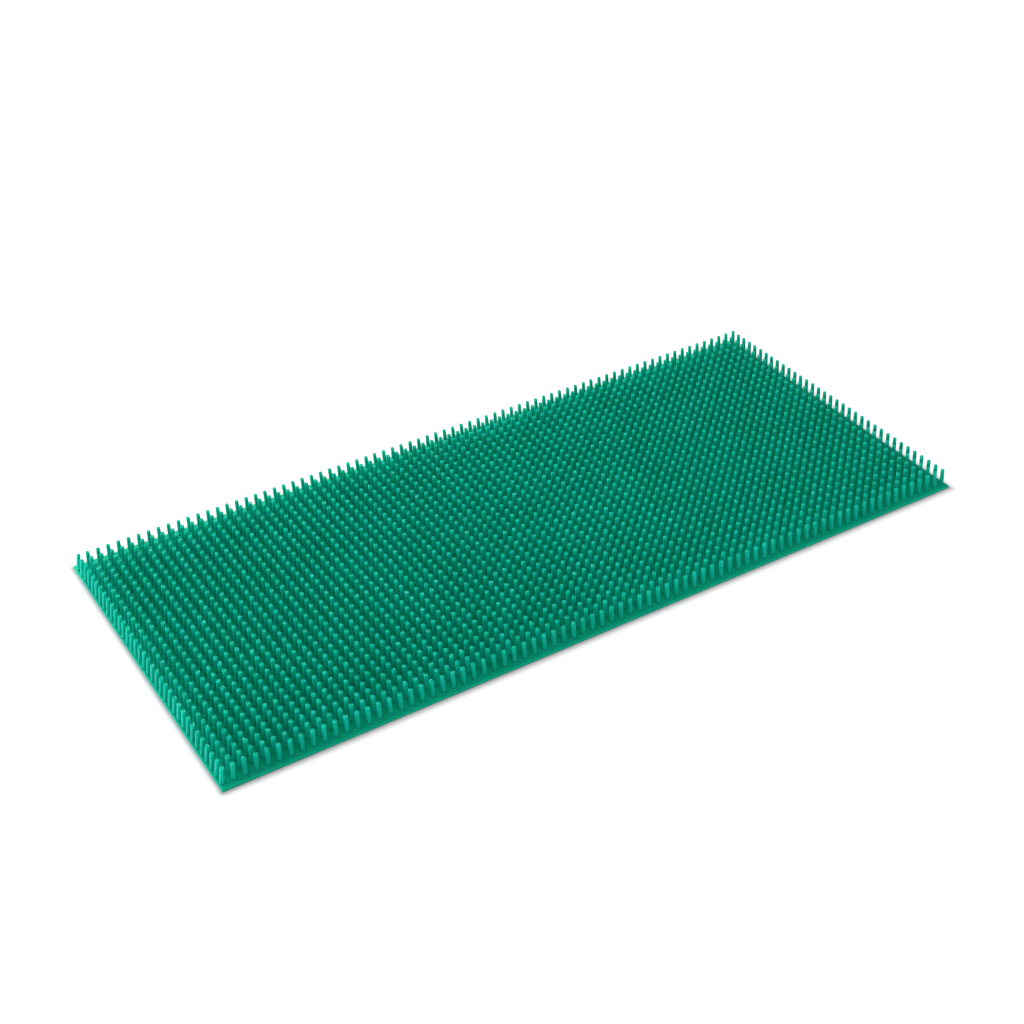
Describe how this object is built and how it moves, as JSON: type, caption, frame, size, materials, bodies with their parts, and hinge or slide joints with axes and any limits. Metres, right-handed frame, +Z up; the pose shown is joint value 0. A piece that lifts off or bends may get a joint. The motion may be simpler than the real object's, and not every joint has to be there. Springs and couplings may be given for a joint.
{
  "type": "silicone pin mat",
  "caption": "Flat rectangular silicone mat with a dense square-set field of upright round pins on its top face, to hold things clear of a surface.",
  "frame": {"origin": "centre of the underside, on the surface that the mat lies on", "axes": "+X along the long side, +Y along the short side from the front edge to the back edge, +Z up along the pins"},
  "size_m": [0.508, 0.2286, 0.0127],
  "materials": {
    "silicone_sheet": "smooth moulded silicone, slightly translucent, satin",
    "silicone_pins": "smooth moulded silicone, slightly translucent, satin"
  },
  "bodies": {
    "root": {"base_sheet": "silicone_sheet", "pin_row_02": "silicone_pins", "pin_row_03": "silicone_pins", "pin_row_04": "silicone_pins", "pin_row_05": "silicone_pins", "pin_row_06": "silicone_pins", "pin_row_07": "silicone_pins", "pin_row_08": "silicone_pins", "pin_row_09": "silicone_pins", "pin_row_10": "silicone_pins", "pin_row_11": "silicone_pins", "pin_row_12": "silicone_pins", "pin_row_13": "silicone_pins", "pin_row_14": "silicone_pins", "pin_row_15": "silicone_pins", "pin_row_16": "silicone_pins", "pin_row_17": "silicone_pins", "pin_row_18": "silicone_pins", "pin_row_19": "silicone_pins", "pin_row_20": "silicone_pins", "pin_row_21": "silicone_pins", "pin_row_22": "silicone_pins", "pin_row_23": "silicone_pins", "pin_row_24": "silicone_pins", "pin_row_25": "silicone_pins", "pin_row_26": "silicone_pins", "pin_row_27": "silicone_pins", "pin_row_28": "silicone_pins", "pin_row_29": "silicone_pins", "pin_row_30": "silicone_pins", "pin_row_31": "silicone_pins", "pin_row_32": "silicone_pins", "pin_row_33": "silicone_pins", "pin_row_34": "silicone_pins"}
  },
  "joints": []
}
